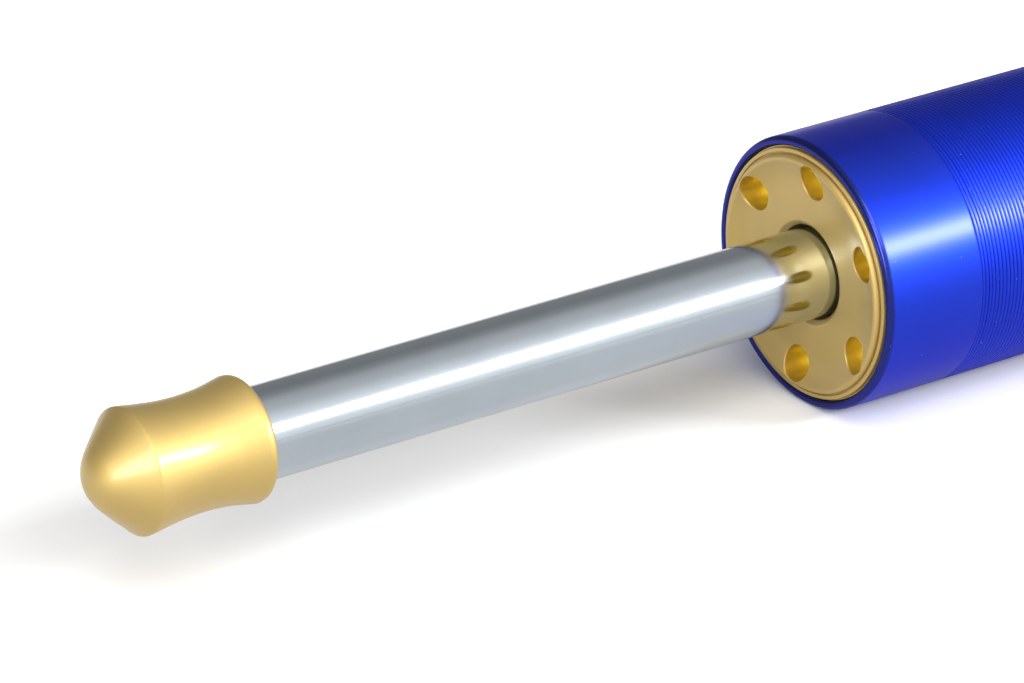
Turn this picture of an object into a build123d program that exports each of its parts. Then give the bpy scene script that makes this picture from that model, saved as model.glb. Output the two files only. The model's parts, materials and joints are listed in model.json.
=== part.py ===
from build123d import *
import math
import os

os.makedirs("parts", exist_ok=True)

# A linear steering damper with a through rod. X runs along the axis, towards the rod end, and the
# origin is the middle of the barrel. Lengths are in millimetres. "Front" is the free end of the rod.
# Everything is drawn with the rod fully out at the front, and the stroke carries it towards +X.
# The stroke is what the barrel leaves between its glands, less a reserve at each end.

# Rod and stroke
rod_radius = 6.0
stroke_reserve = 3.96
free_end_gap = 11.6
head_gap = 8.0

# Clearances
running_clearance = 0.03
seat_clearance = 0.05
thread_runout = 1.0

# Barrel
barrel_length = 136.0
barrel_radius = 18.5
barrel_edge = 0.5
barrel_wall = 3.5
mouth_wall = 1.2
mouth_depth = 20.0
smooth_band = 15.5
groove_width = 0.6
groove_depth = 0.25

# End caps
cap_depth = 9.0
cap_clearance = 0.1
lip_gap = 0.3
lip_rise = 0.05
lip_depth = 0.6
bead_round = 0.6
bead_from_thread = 1.6
face_recess = 0.5
rod_hole_gap = 0.5
rod_hole_chamfer = 0.6
pin_hole_count = 6
pin_hole_radius = 2.4
pin_hole_bite = 0.15
pin_hole_depth = 4.0
front_pin_angle = 25.0
rear_pin_angle = 30.0

# Glands and the seals in them
wiper_pocket_radius = 9.0
wiper_pocket_depth = 4.5
wiper_lip = 1.5
wiper_lip_wall = 0.35
seal_pocket_radius = 9.5
seal_pocket_depth = 4.5
seal_notch_depth = 1.8
seal_notch_width = 1.2
bush_wall = 1.0
ring_groove_width = 2.4
ring_groove_depth = 1.9
ring_groove_from_stop = 4.3
slack = 0.3

# Piston and shims
piston_length = 10.0
piston_clearance = 0.3
band_width = 3.0
band_depth = 1.3
band_gap = 0.6
spigot_radius = 4.0
port_pairs = 3
port_radius = 1.5
port_circle_radius = 9.0
port_recess_depth = 2.0
port_recess_rim = 0.8
shim_radii = (11.0, 8.0)
shim_thickness = 0.75
shim_gap = 0.02

# Thread and drilling inside the rod
spigot_land = 3.0
spigot_thread_radius = 3.0
spigot_thread_length = 9.0
land_gap = 0.4
drill_radius = 1.6
seat_radius = 0.8
seat_length = 2.0
front_drill_radius = 1.2
cross_hole_radius = 0.8
cross_hole_offset = 1.5

# Bullet cap on the free end
bullet_length = 22.7
bullet_radius = 8.2
bullet_waist = 7.3
bullet_rim = 0.8
bullet_ridge_from_tip = 6.0
nose_radius = 5.5
bullet_pocket = 3.0
bullet_stud_radius = 4.0
bullet_stud_length = 10.0

# Rod head
head_radius = 9.0
head_flats = 16.0
head_length = 3.5
head_edge = 0.4
head_thread_radius = 5.0
head_thread_length = 5.0
journal_radius = 7.0
journal_length = 14.5
chamber_radius = 2.6
chamber_length = 9.0
stud_radius = 4.0
stud_length = 18.0
clip_groove_depth = 0.5
clip_width = 0.9
clip_reach = 1.2
clip_gap = 2.0
clip_from_end = 1.0
washer_thickness = 0.8

# Adjuster knob and its clicks
knob_radius = 11.2
knob_gap = 0.3
knob_edge = 0.6
knob_web = 4.2
knob_cavity_radius = 9.6
scallop_count = 12
scallop_radius = 2.2
scallop_depth = 0.7
click_count = 12
click_radius = 0.7
click_depth = 0.25
click_pin_radius = 1.0
click_pin_rise = 0.4
click_pin_length = 1.8
click_nose_radius = 0.4
click_hole_depth = 3.6
click_from_head = 2.5
spring_wire = 0.35
click_spring_turns = 2

# Needle train
needle_travel = 1.0
needle_seat_gap = 0.05
needle_angle = 30.0
needle_tip_radius = 0.4
needle_shank_radius = 1.2
needle_land_radius = 1.55
needle_land_start = 12.0
needle_length = 20.0
needle_seal_width = 1.4
needle_seal_depth = 0.5
push_rod_radius = 1.4
collar_radius = 2.4
collar_thickness = 0.5
cross_pin_radius = 1.0
cross_pin_from_stud = 6.5
follower_length = 4.0
follower_clearance = 0.1
return_spring_radius = 1.95
return_spring_turns = 3

# Rod end with its spherical bearing
nut_flats = 13.0
nut_length = 4.0
nut_from_journal = 1.5
shank_flats = 14.0
shank_hex_length = 6.5
shank_radius = 6.25
shank_to_eye = 36.0
shank_straight = 14.0
neck_radius = 4.3
eye_radius = 12.0
eye_width = 9.0
eye_edge = 0.6
tapped_depth = 16.0
ball_radius = 7.94
ball_width = 12.0
ball_bore_radius = 4.0
race_radius = 9.5
mount_bore_radius = 3.05
bush_flange = 3.0
bush_cone = 1.5
bush_foot_radius = 4.8
bush_head_radius = 5.6
bush_length = 5.5

# Places along the axis, worked out from the sizes above
half_barrel = barrel_length / 2
gland_stop = half_barrel - mouth_depth
cap_back = half_barrel - cap_depth
bore_radius = barrel_radius - barrel_wall
mouth_radius = barrel_radius - mouth_wall
cap_radius = mouth_radius - cap_clearance
bead_middle = cap_radius - bead_from_thread
pin_circle_radius = bead_middle + pin_hole_bite - pin_hole_radius
dish_start = pin_circle_radius - pin_hole_radius
seal_seat = cap_back - seal_pocket_depth
wiper_seat = cap_back + wiper_pocket_depth
hole_radius = rod_radius + rod_hole_gap
bush_radius = rod_radius + running_clearance + bush_wall

stack_length = (shim_thickness + shim_gap) * len(shim_radii)
stroke = barrel_length - 2 * (mouth_depth + stroke_reserve + stack_length) - piston_length
piston_x = -stroke / 2
piston_radius = bore_radius - piston_clearance
stack_front = piston_x - piston_length / 2 - stack_length
stack_rear = piston_x + piston_length / 2 + stack_length

bullet_rear = -(half_barrel + free_end_gap + stroke)
free_shoulder = bullet_rear - bullet_pocket
head_front = half_barrel + head_gap
journal_start = head_front + head_length
journal_end = journal_start + journal_length
chamber_start = head_front + head_thread_length
chamber_end = chamber_start + chamber_length
clip_rear = journal_end - clip_from_end
clip_front = clip_rear - clip_width
washer_front = clip_front - seat_clearance - washer_thickness
knob_front = journal_start + knob_gap
knob_rear = washer_front - seat_clearance
click_x = journal_start + click_from_head
cross_pin_x = journal_end - cross_pin_from_stud
nut_front = journal_end + nut_from_journal
shank_end = nut_front + nut_length
eye_x = shank_end + shank_to_eye

seat_face = piston_x + seat_length / 2
needle_slope = 1 / math.tan(math.radians(needle_angle))
needle_tip = seat_face + needle_travel + needle_seat_gap - (seat_radius - needle_tip_radius) * needle_slope
needle_end = seat_face + needle_length


def turn(outline, mode=Mode.ADD):
    """Turns a closed outline of (x, radius) points about the damper's axis."""
    with BuildSketch(Plane.XY) as section:
        with BuildLine():
            Polyline(*outline, close=True)
        make_face()
    revolve(section.sketch, axis=Axis.X, mode=mode)


def turn_upright(outline, mode=Mode.ADD):
    """Turns a closed outline of (radius, height) points about the upright axis of the eye."""
    with BuildSketch(Plane.XZ) as section:
        with BuildLine():
            Polyline(*[(eye_x + r, z) for r, z in outline], close=True)
        make_face()
    revolve(section.sketch, axis=Axis((eye_x, 0, 0), (0, 0, 1)), mode=mode)


def ring(x_from, x_to, inner, outer):
    """The outline of a plain ring between two places on the axis."""
    return [(x_from, inner), (x_to, inner), (x_to, outer), (x_from, outer)]


def across(x, direction=1):
    """A plane square to the axis at x, with its up direction along +Z."""
    return Plane(origin=(x, 0, 0), x_dir=(0, direction, 0), z_dir=(direction, 0, 0))


def save(part, name):
    """Names a finished piece and writes it to its own file."""
    part.part.label = name
    export_step(part.part, f"parts/{name}.step")


# Barrel: a tube with a counterbored mouth at each end and a relief groove beside each smooth band
band_inner = half_barrel - smooth_band
half_outline = [
    (gland_stop, bore_radius),
    (gland_stop, mouth_radius),
    (half_barrel, mouth_radius),
    (half_barrel, barrel_radius - barrel_edge),
    (half_barrel - barrel_edge, barrel_radius),
    (band_inner + groove_width, barrel_radius),
    (band_inner + groove_width, barrel_radius - groove_depth),
    (band_inner, barrel_radius - groove_depth),
    (band_inner, barrel_radius),
]
with BuildPart() as barrel_tube:
    turn(half_outline + [(-x, r) for x, r in reversed(half_outline)])
save(barrel_tube, "barrel_tube")


def turn_cap(side):
    """Turns an end cap: a flat face that rises in a dish to a round bead, and a lip outside the bead.
    The dish's arc touches the face and the bead, and each point is (distance out of the rim, radius)."""
    reach = bead_middle - dish_start
    climb = lip_rise + face_recess
    dish_round = (reach**2 + climb**2 - bead_round**2) / (2 * (bead_round + climb))
    tilt = math.asin(reach / (dish_round + bead_round))

    def on_dish(angle):
        return (dish_round * (1 - math.cos(angle)) - face_recess, dish_start + dish_round * math.sin(angle))

    def on_bead(angle):
        return (lip_rise + bead_round * math.cos(angle), bead_middle + bead_round * math.sin(angle))

    def place(point):
        return (side * (half_barrel + point[0]), point[1])

    lip_radius = mouth_radius - lip_gap
    straight = [
        on_bead(math.pi / 2),
        (lip_rise, lip_radius),
        (-lip_depth, lip_radius),
        (-lip_depth, cap_radius),
        (-cap_depth, cap_radius),
        (-cap_depth, wiper_pocket_radius),
        (-cap_depth + wiper_pocket_depth, wiper_pocket_radius),
        (-cap_depth + wiper_pocket_depth, hole_radius),
        (-face_recess - rod_hole_chamfer, hole_radius),
        (-face_recess, hole_radius + rod_hole_chamfer),
        on_dish(0),
    ]
    with BuildSketch(Plane.XY) as section:
        with BuildLine():
            Polyline(*[place(point) for point in straight])
            ThreePointArc(place(on_dish(0)), place(on_dish(tilt / 2)), place(on_bead(-tilt)))
            ThreePointArc(place(on_bead(-tilt)), place(on_bead((math.pi / 2 - tilt) / 2)), place(straight[0]))
        make_face()
    revolve(section.sketch, axis=Axis.X)


for end, side, pin_angle in (("front", -1, front_pin_angle), ("rear", 1, rear_pin_angle)):
    # End cap: screwed into the mouth, with six blind holes for a pin spanner
    with BuildPart() as end_cap:
        turn_cap(side)
        with BuildSketch(across(side * (half_barrel - face_recess - pin_hole_depth), side)):
            with PolarLocations(pin_circle_radius, pin_hole_count, start_angle=pin_angle):
                Circle(pin_hole_radius)
        extrude(amount=2 * pin_hole_depth, mode=Mode.SUBTRACT)
    save(end_cap, f"{end}_end_cap")

    # Gland: the block that the cap clamps on the barrel's shoulder, bored for the seal and the bush
    ring_rear = gland_stop + ring_groove_from_stop
    ring_floor = cap_radius - ring_groove_depth
    gland_outline = [
        (gland_stop, bush_radius + running_clearance),
        (seal_seat, bush_radius + running_clearance),
        (seal_seat, seal_pocket_radius),
        (cap_back, seal_pocket_radius),
        (cap_back, cap_radius),
        (ring_rear + ring_groove_width, cap_radius),
        (ring_rear + ring_groove_width, ring_floor),
        (ring_rear, ring_floor),
        (ring_rear, cap_radius),
        (gland_stop, cap_radius),
    ]
    with BuildPart() as gland:
        turn([(side * x, r) for x, r in gland_outline])
    save(gland, f"{end}_gland")

    # Square-cut ring that seals the gland in the barrel
    with BuildPart() as gland_ring:
        inner = ring_floor + seat_clearance
        outer = mouth_radius - seat_clearance
        edge = cap_clearance
        turn(
            [
                (side * x, r)
                for x, r in ring(ring_rear + edge, ring_rear + ring_groove_width - edge, inner, outer)
            ]
        )
    save(gland_ring, f"{end}_gland_ring")

    # Plain bush that guides the rod
    with BuildPart() as rod_bush:
        bush_outline = ring(gland_stop, seal_seat, rod_radius + running_clearance, bush_radius)
        turn([(side * x, r) for x, r in bush_outline])
    save(rod_bush, f"{end}_rod_bush")

    # Lipped seal, open towards the oil
    lip_inner = rod_radius + running_clearance
    seal_outer = seal_pocket_radius - seat_clearance
    notch_middle = (lip_inner + seal_outer) / 2
    seal_outline = [
        (seal_seat, lip_inner),
        (cap_back - slack, lip_inner),
        (cap_back - slack, seal_outer),
        (seal_seat, seal_outer),
        (seal_seat, notch_middle + seal_notch_width / 2),
        (seal_seat + seal_notch_depth, notch_middle),
        (seal_seat, notch_middle - seal_notch_width / 2),
    ]
    with BuildPart() as rod_seal:
        turn([(side * x, r) for x, r in seal_outline])
    save(rod_seal, f"{end}_rod_seal")

    # Wiper in the cap's pocket, with a thin lip that stands forward round the rod
    wiper_outline = [
        (cap_back, lip_inner),
        (wiper_seat + wiper_lip, lip_inner),
        (wiper_seat + wiper_lip, lip_inner + wiper_lip_wall),
        (wiper_seat - seat_clearance, lip_inner + wiper_lip_wall),
        (wiper_seat - seat_clearance, wiper_pocket_radius - seat_clearance),
        (cap_back, wiper_pocket_radius - seat_clearance),
    ]
    with BuildPart() as wiper:
        turn([(side * x, r) for x, r in wiper_outline])
    save(wiper, f"{end}_wiper")

# Piston: a disc on the rod's spigot, with ports that open past the shims on alternate faces
band_floor = bore_radius - band_depth - running_clearance
with BuildPart() as piston:
    turn(
        ring(
            piston_x - piston_length / 2,
            piston_x + piston_length / 2,
            spigot_radius,
            piston_radius,
        )
    )
    groove_half = band_width / 2 + seat_clearance
    turn(ring(piston_x - groove_half, piston_x + groove_half, band_floor, bore_radius), mode=Mode.SUBTRACT)
    with BuildSketch(across(piston_x - piston_length / 2)):
        with PolarLocations(port_circle_radius, 2 * port_pairs):
            Circle(port_radius)
    extrude(amount=piston_length, mode=Mode.SUBTRACT)
    for face_side, first_port in ((-1, 0), (1, 180 / port_pairs)):
        with BuildSketch(across(piston_x + face_side * piston_length / 2)):
            with PolarLocations(port_circle_radius, port_pairs, start_angle=first_port):
                reach = piston_radius - port_recess_rim - port_radius - port_circle_radius
                with Locations((reach / 2, 0)):
                    SlotCenterToCenter(reach, 2 * port_radius)
        extrude(amount=-face_side * port_recess_depth, mode=Mode.SUBTRACT)
save(piston, "piston")

# Piston band: a split ring of slippery plastic that runs in the barrel
with BuildPart() as piston_ring:
    turn(
        ring(
            piston_x - band_width / 2,
            piston_x + band_width / 2,
            band_floor + seat_clearance,
            bore_radius - running_clearance,
        )
    )
    with BuildSketch(Plane.XY.offset(band_floor - slack)):
        with Locations((piston_x, 0)):
            Rectangle(2 * band_width, band_gap)
    extrude(amount=2 * band_depth, mode=Mode.SUBTRACT)
save(piston_ring, "piston_ring")

# Shim stacks: spring discs that get smaller away from the piston, one stack on each face
for end, side in (("front", -1), ("rear", 1)):
    with BuildPart() as shim_stack:
        for number, shim_radius in enumerate(shim_radii):
            shim_near = piston_length / 2 + shim_gap + number * (shim_thickness + shim_gap)
            turn(
                ring(
                    piston_x + side * shim_near,
                    piston_x + side * (shim_near + shim_thickness),
                    spigot_radius,
                    shim_radius,
                )
            )
    save(shim_stack, f"{end}_shim_stack")

# Free side of the rod: tapped for the spigot at the piston, with a stud for the bullet cap
land_end = stack_front - spigot_land
tapped_end = land_end - spigot_thread_length - thread_runout
with BuildPart() as rod_free_side:
    turn(
        [
            (stack_front, spigot_radius + land_gap),
            (stack_front, rod_radius),
            (free_shoulder, rod_radius),
            (free_shoulder, bullet_stud_radius),
            (free_shoulder - bullet_stud_length, bullet_stud_radius),
            (free_shoulder - bullet_stud_length, 0),
            (tapped_end, 0),
            (tapped_end, spigot_thread_radius + seat_clearance),
            (land_end, spigot_thread_radius + seat_clearance),
            (land_end, spigot_radius + land_gap),
        ]
    )
    with Locations((stack_front - cross_hole_offset, 0, 0)):
        Cylinder(cross_hole_radius, 3 * rod_radius, mode=Mode.SUBTRACT)
save(rod_free_side, "rod_free_side")

# Eye side of the rod: drilled through for the needle, with a valve seat inside the piston
spigot = spigot_radius - running_clearance
with BuildPart() as rod_eye_side:
    turn(
        [
            (land_end - spigot_thread_length, front_drill_radius),
            (land_end - spigot_thread_length, spigot_thread_radius),
            (land_end + seat_clearance, spigot_thread_radius),
            (land_end + seat_clearance, spigot),
            (stack_rear, spigot),
            (stack_rear, rod_radius),
            (head_front, rod_radius),
            (head_front, head_thread_radius),
            (chamber_start, head_thread_radius),
            (chamber_start, drill_radius),
            (seat_face, drill_radius),
            (seat_face, seat_radius),
            (seat_face - seat_length, seat_radius),
            (seat_face - seat_length, front_drill_radius),
        ]
    )
    with Locations((stack_front - cross_hole_offset, 0, 0), (stack_rear + cross_hole_offset, 0, 0)):
        Cylinder(cross_hole_radius, 3 * rod_radius, mode=Mode.SUBTRACT)
save(rod_eye_side, "rod_eye_side")

# Bullet cap: a rimmed, waisted bell with a blunt cone for a nose
ridge_x = bullet_rear - bullet_length + bullet_ridge_from_tip
tip_x = bullet_rear - bullet_length
centre_x = tip_x + nose_radius
ridge_distance = math.hypot(centre_x - ridge_x, bullet_radius)
tangent_turn = math.atan2(bullet_radius, centre_x - ridge_x) - math.acos(nose_radius / ridge_distance)
tangent_point = (centre_x - nose_radius * math.cos(tangent_turn), nose_radius * math.sin(tangent_turn))
middle_turn = tangent_turn / 2
nose_middle = (centre_x - nose_radius * math.cos(middle_turn), nose_radius * math.sin(middle_turn))
pocket_radius = rod_radius + seat_clearance
stud_bore = bullet_stud_radius + seat_clearance
stud_bore_end = free_shoulder - bullet_stud_length - thread_runout
with BuildPart() as bullet_end_cap:
    with BuildSketch(Plane.XY) as bullet_section:
        with BuildLine():
            Polyline(
                (tip_x, 0),
                (stud_bore_end, 0),
                (stud_bore_end, stud_bore),
                (free_shoulder, stud_bore),
                (free_shoulder, pocket_radius),
                (bullet_rear, pocket_radius),
                (bullet_rear, bullet_radius - bullet_rim),
                (bullet_rear - bullet_rim, bullet_radius),
            )
            ThreePointArc(
                (bullet_rear - bullet_rim, bullet_radius),
                ((bullet_rear - bullet_rim + ridge_x) / 2, bullet_waist),
                (ridge_x, bullet_radius),
            )
            Line((ridge_x, bullet_radius), tangent_point)
            ThreePointArc(tangent_point, nose_middle, (tip_x, 0))
        make_face()
    revolve(axis=Axis.X)
save(bullet_end_cap, "bullet_end_cap")

# Rod head: screwed on the rod, with spanner flats, a journal for the knob and a stud for the rod end
with BuildPart() as rod_head:
    turn(
        [
            (head_front, head_thread_radius + seat_clearance),
            (head_front, head_radius - head_edge),
            (head_front + head_edge, head_radius),
            (journal_start, head_radius),
            (journal_start, journal_radius),
            (clip_front, journal_radius),
            (clip_front, journal_radius - clip_groove_depth),
            (clip_rear, journal_radius - clip_groove_depth),
            (clip_rear, journal_radius),
            (journal_end, journal_radius),
            (journal_end, stud_radius),
            (journal_end + stud_length, stud_radius),
            (journal_end + stud_length, 0),
            (chamber_end, 0),
            (chamber_end, chamber_radius),
            (chamber_start, chamber_radius),
            (chamber_start, head_thread_radius + seat_clearance),
        ]
    )
    for side in (-1, 1):
        with Locations((head_front + head_length / 2, side * (head_flats / 2 + head_radius), 0)):
            Box(head_length, 2 * head_radius, 2 * head_radius, mode=Mode.SUBTRACT)
    with BuildSketch(Plane.XZ):
        with Locations((cross_pin_x - needle_travel / 2, 0)):
            SlotCenterToCenter(needle_travel, 2 * (cross_pin_radius + seat_clearance))
    extrude(amount=2 * journal_radius, both=True, mode=Mode.SUBTRACT)
    with BuildSketch(Plane.XY.offset(journal_radius - click_hole_depth)):
        with Locations((click_x, 0)):
            Circle(click_pin_radius + seat_clearance)
    extrude(amount=2 * click_hole_depth, mode=Mode.SUBTRACT)
save(rod_head, "rod_head")

# Click pin with a coned nose, and the small spring under it
pin_top = journal_radius + click_pin_rise
pin_bottom = pin_top - click_pin_length
with BuildPart() as click_pin:
    with BuildSketch(Plane.XZ):
        with BuildLine():
            Polyline(
                (click_x, pin_bottom),
                (click_x + click_pin_radius, pin_bottom),
                (click_x + click_pin_radius, pin_top - click_pin_radius + click_nose_radius),
                (click_x + click_nose_radius, pin_top),
                (click_x, pin_top),
                close=True,
            )
        make_face()
    revolve(axis=Axis((click_x, 0, 0), (0, 0, 1)))
save(click_pin, "click_pin")


def coil_spring(start, direction, length, coil_radius, turns):
    """A coil of square wire that reaches that length from start along direction."""
    height = length - spring_wire
    begin = Vector(*start) + Vector(*direction) * (spring_wire / 2)
    with BuildLine() as path:
        Helix(height / turns, height, coil_radius, center=begin, direction=direction)
    with BuildSketch(Plane(origin=path.line @ 0, z_dir=path.line % 0)) as wire:
        Rectangle(spring_wire, spring_wire)
    sweep(wire.sketch, path=path.line, is_frenet=True)


click_spring_base = journal_radius - click_hole_depth + seat_clearance
with BuildPart() as click_spring:
    coil_spring(
        (click_x, 0, click_spring_base),
        (0, 0, 1),
        pin_bottom - seat_clearance - click_spring_base,
        click_pin_radius - spring_wire,
        click_spring_turns,
    )
save(click_spring, "click_spring")

# Knob washer and the split clip that holds it
with BuildPart() as knob_washer:
    turn(
        ring(
            washer_front,
            washer_front + washer_thickness,
            journal_radius + seat_clearance,
            knob_cavity_radius - follower_clearance,
        )
    )
save(knob_washer, "knob_washer")

with BuildPart() as knob_clip:
    clip_inner = journal_radius - clip_groove_depth + seat_clearance
    clip_outer = journal_radius + clip_reach
    turn(ring(clip_front + seat_clearance, clip_rear - seat_clearance, clip_inner, clip_outer))
    with BuildSketch(Plane.XY.offset(journal_radius - clip_reach)):
        with Locations(((clip_front + clip_rear) / 2, 0)):
            Rectangle(2 * clip_width, clip_gap)
    extrude(amount=3 * clip_reach, mode=Mode.SUBTRACT)
save(knob_clip, "knob_clip")

# Adjuster knob: scalloped outside, threaded inside for the follower, with click notches in its web
with BuildPart() as adjuster_knob:
    knob_bore = journal_radius + running_clearance + seat_clearance
    turn(
        [
            (knob_front, knob_bore),
            (knob_front, knob_radius - knob_edge),
            (knob_front + knob_edge, knob_radius),
            (knob_rear - knob_edge, knob_radius),
            (knob_rear, knob_radius - knob_edge),
            (knob_rear, knob_cavity_radius),
            (knob_front + knob_web, knob_cavity_radius),
            (knob_front + knob_web, knob_bore),
        ]
    )
    with BuildSketch(across(knob_front)):
        with PolarLocations(knob_radius - scallop_depth + scallop_radius, scallop_count):
            Circle(scallop_radius)
    extrude(amount=knob_rear - knob_front, mode=Mode.SUBTRACT)
    track_radius = journal_radius + click_pin_rise + seat_clearance
    track_width = 2 * (click_pin_radius + seat_clearance)
    with BuildSketch(across(click_x - track_width / 2)):
        Circle(track_radius)
        with PolarLocations(track_radius + click_depth - click_radius, click_count, start_angle=90):
            Circle(click_radius)
    extrude(amount=track_width, mode=Mode.SUBTRACT)
save(adjuster_knob, "adjuster_knob")

# Follower ring: its thread runs in the knob, and the cross pin keeps it from turning
with BuildPart() as follower_ring:
    turn(
        ring(
            cross_pin_x - follower_length / 2,
            cross_pin_x + follower_length / 2,
            journal_radius + seat_clearance,
            knob_cavity_radius - follower_clearance,
        )
    )
    with BuildSketch(Plane.XZ):
        with Locations((cross_pin_x, 0)):
            Circle(cross_pin_radius + running_clearance)
    extrude(amount=2 * knob_cavity_radius, both=True, mode=Mode.SUBTRACT)
save(follower_ring, "follower_ring")

with BuildPart() as cross_pin:
    with BuildSketch(Plane.XZ):
        with Locations((cross_pin_x, 0)):
            Circle(cross_pin_radius)
    extrude(amount=knob_cavity_radius - slack, both=True)
save(cross_pin, "cross_pin")

# Push rod, from the needle to the cross pin, with a collar for the return spring
collar_rear = cross_pin_x - cross_pin_radius - running_clearance
with BuildPart() as push_rod:
    turn(
        [
            (needle_end, 0),
            (needle_end, push_rod_radius),
            (collar_rear - collar_thickness, push_rod_radius),
            (collar_rear - collar_thickness, collar_radius),
            (collar_rear, collar_radius),
            (collar_rear, 0),
        ]
    )
save(push_rod, "push_rod")

with BuildPart() as return_spring:
    spring_start = chamber_start + 2 * seat_clearance
    spring_end = collar_rear - collar_thickness - 2 * seat_clearance
    coil_spring(
        (spring_start, 0, 0),
        (1, 0, 0),
        spring_end - spring_start,
        return_spring_radius,
        return_spring_turns,
    )
save(return_spring, "return_spring")

# Needle: a cone that closes on the seat, a slim shank past the cross hole and a land for its seal
land_x = seat_face + needle_land_start
seal_x = (land_x + needle_end) / 2
seal_half = needle_seal_width / 2
seal_floor = needle_land_radius - needle_seal_depth
with BuildPart() as needle:
    turn(
        [
            (needle_tip, 0),
            (needle_tip, needle_tip_radius),
            (needle_tip + (needle_shank_radius - needle_tip_radius) * needle_slope, needle_shank_radius),
            (land_x, needle_shank_radius),
            (land_x, needle_land_radius),
            (seal_x - seal_half, needle_land_radius),
            (seal_x - seal_half, seal_floor),
            (seal_x + seal_half, seal_floor),
            (seal_x + seal_half, needle_land_radius),
            (needle_end, needle_land_radius),
            (needle_end, 0),
        ]
    )
save(needle, "needle")

with BuildPart() as needle_seal:
    turn(
        ring(
            seal_x - seal_half + seat_clearance,
            seal_x + seal_half - seat_clearance,
            seal_floor + running_clearance,
            drill_radius - running_clearance,
        )
    )
save(needle_seal, "needle_seal")

# Lock nut on the rod head's stud
with BuildPart() as lock_nut:
    with BuildSketch(across(nut_front)):
        RegularPolygon(nut_flats / 2, 6, major_radius=False)
        Circle(stud_radius + seat_clearance, mode=Mode.SUBTRACT)
    extrude(amount=nut_length)
save(lock_nut, "lock_nut")

# Rod end: a tapped shank with a hexagon, tapering into a flat eye that holds the bearing
with BuildPart() as rod_end_housing:
    with BuildSketch(across(shank_end)):
        RegularPolygon(shank_flats / 2, 6, major_radius=False)
    extrude(amount=shank_hex_length)
    turn(
        [
            (shank_end + shank_hex_length, 0),
            (shank_end + shank_hex_length, shank_radius),
            (shank_end + shank_straight, shank_radius),
            (eye_x - eye_radius + eye_edge, neck_radius),
            (eye_x, neck_radius),
            (eye_x, 0),
        ]
    )
    turn_upright(
        [
            (0, -eye_width / 2),
            (eye_radius - eye_edge, -eye_width / 2),
            (eye_radius, -eye_width / 2 + eye_edge),
            (eye_radius, eye_width / 2 - eye_edge),
            (eye_radius - eye_edge, eye_width / 2),
            (0, eye_width / 2),
        ]
    )
    race_hole = race_radius + running_clearance
    turn_upright(
        [(0, -eye_width), (race_hole, -eye_width), (race_hole, eye_width), (0, eye_width)],
        mode=Mode.SUBTRACT,
    )
    tapped_radius = stud_radius + seat_clearance
    turn(
        [
            (shank_end, 0),
            (shank_end, tapped_radius),
            (shank_end + tapped_depth, tapped_radius),
            (shank_end + tapped_depth, 0),
        ],
        mode=Mode.SUBTRACT,
    )
save(rod_end_housing, "rod_end_housing")

# Bearing race: a ring with a hollow sphere for its bore
with BuildPart() as bearing_race:
    with Locations((eye_x, 0, 0)):
        Cylinder(race_radius, eye_width)
        Sphere(ball_radius + running_clearance, mode=Mode.SUBTRACT)
save(bearing_race, "bearing_race")

# Spherical ball: cut flat at both ends and bored for the bushes
with BuildPart() as spherical_ball:
    with Locations((eye_x, 0, 0)):
        Sphere(ball_radius)
        Cylinder(ball_bore_radius, 2 * ball_width, mode=Mode.SUBTRACT)
    split(bisect_by=Plane.XY.offset(ball_width / 2), keep=Keep.BOTTOM)
    split(bisect_by=Plane.XY.offset(-ball_width / 2), keep=Keep.TOP)
save(spherical_ball, "spherical_ball")

# Top-hat bushes that step the ball's bore down to the mounting bolt
sleeve_radius = ball_bore_radius - seat_clearance
for name, up in (("upper_bush", 1), ("lower_bush", -1)):
    bush_outline = [
        (mount_bore_radius, ball_width / 2 - bush_length),
        (sleeve_radius, ball_width / 2 - bush_length),
        (sleeve_radius, ball_width / 2),
        (bush_foot_radius, ball_width / 2),
        (bush_head_radius, ball_width / 2 + bush_cone),
        (bush_head_radius, ball_width / 2 + bush_flange),
        (mount_bore_radius, ball_width / 2 + bush_flange),
    ]
    with BuildPart() as bush:
        turn_upright([(r, up * z) for r, z in bush_outline])
    save(bush, name)
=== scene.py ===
import json
import math

import bmesh
import bpy
import numpy as np
from bpy.props import FloatProperty, FloatVectorProperty, IntProperty, PointerProperty
from mathutils import Matrix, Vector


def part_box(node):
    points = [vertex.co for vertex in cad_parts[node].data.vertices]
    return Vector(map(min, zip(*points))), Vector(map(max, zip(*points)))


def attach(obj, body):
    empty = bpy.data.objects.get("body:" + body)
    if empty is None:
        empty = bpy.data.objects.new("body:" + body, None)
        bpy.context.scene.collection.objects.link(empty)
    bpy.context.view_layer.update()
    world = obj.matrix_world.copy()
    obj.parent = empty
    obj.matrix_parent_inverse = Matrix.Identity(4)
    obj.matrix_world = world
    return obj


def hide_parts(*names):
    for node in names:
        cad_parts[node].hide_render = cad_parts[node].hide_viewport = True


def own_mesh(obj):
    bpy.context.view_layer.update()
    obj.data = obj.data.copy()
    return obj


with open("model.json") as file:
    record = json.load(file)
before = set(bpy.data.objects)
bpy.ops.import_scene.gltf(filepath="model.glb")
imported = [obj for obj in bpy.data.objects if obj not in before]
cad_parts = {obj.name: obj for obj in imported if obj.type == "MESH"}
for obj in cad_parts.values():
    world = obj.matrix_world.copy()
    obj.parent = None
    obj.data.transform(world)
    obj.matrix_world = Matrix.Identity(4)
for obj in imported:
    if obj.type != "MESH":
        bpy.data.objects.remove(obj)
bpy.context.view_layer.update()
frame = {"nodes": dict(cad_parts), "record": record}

bl_info = {
    "name": "Steering damper",
    "version": (1, 0, 0),
    "blender": (4, 5, 0),
    "location": "3D View > Sidebar > Damper",
    "description": "Turned, anodised and chromed surfaces for a linear steering damper",
    "category": "Object",
}

# The damper lies along X, with the origin in the middle of its barrel. Everything is in metres.
MM = 0.001
# Faces that meet at more than this angle keep a sharp edge between them
CREASE = math.radians(32)


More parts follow.
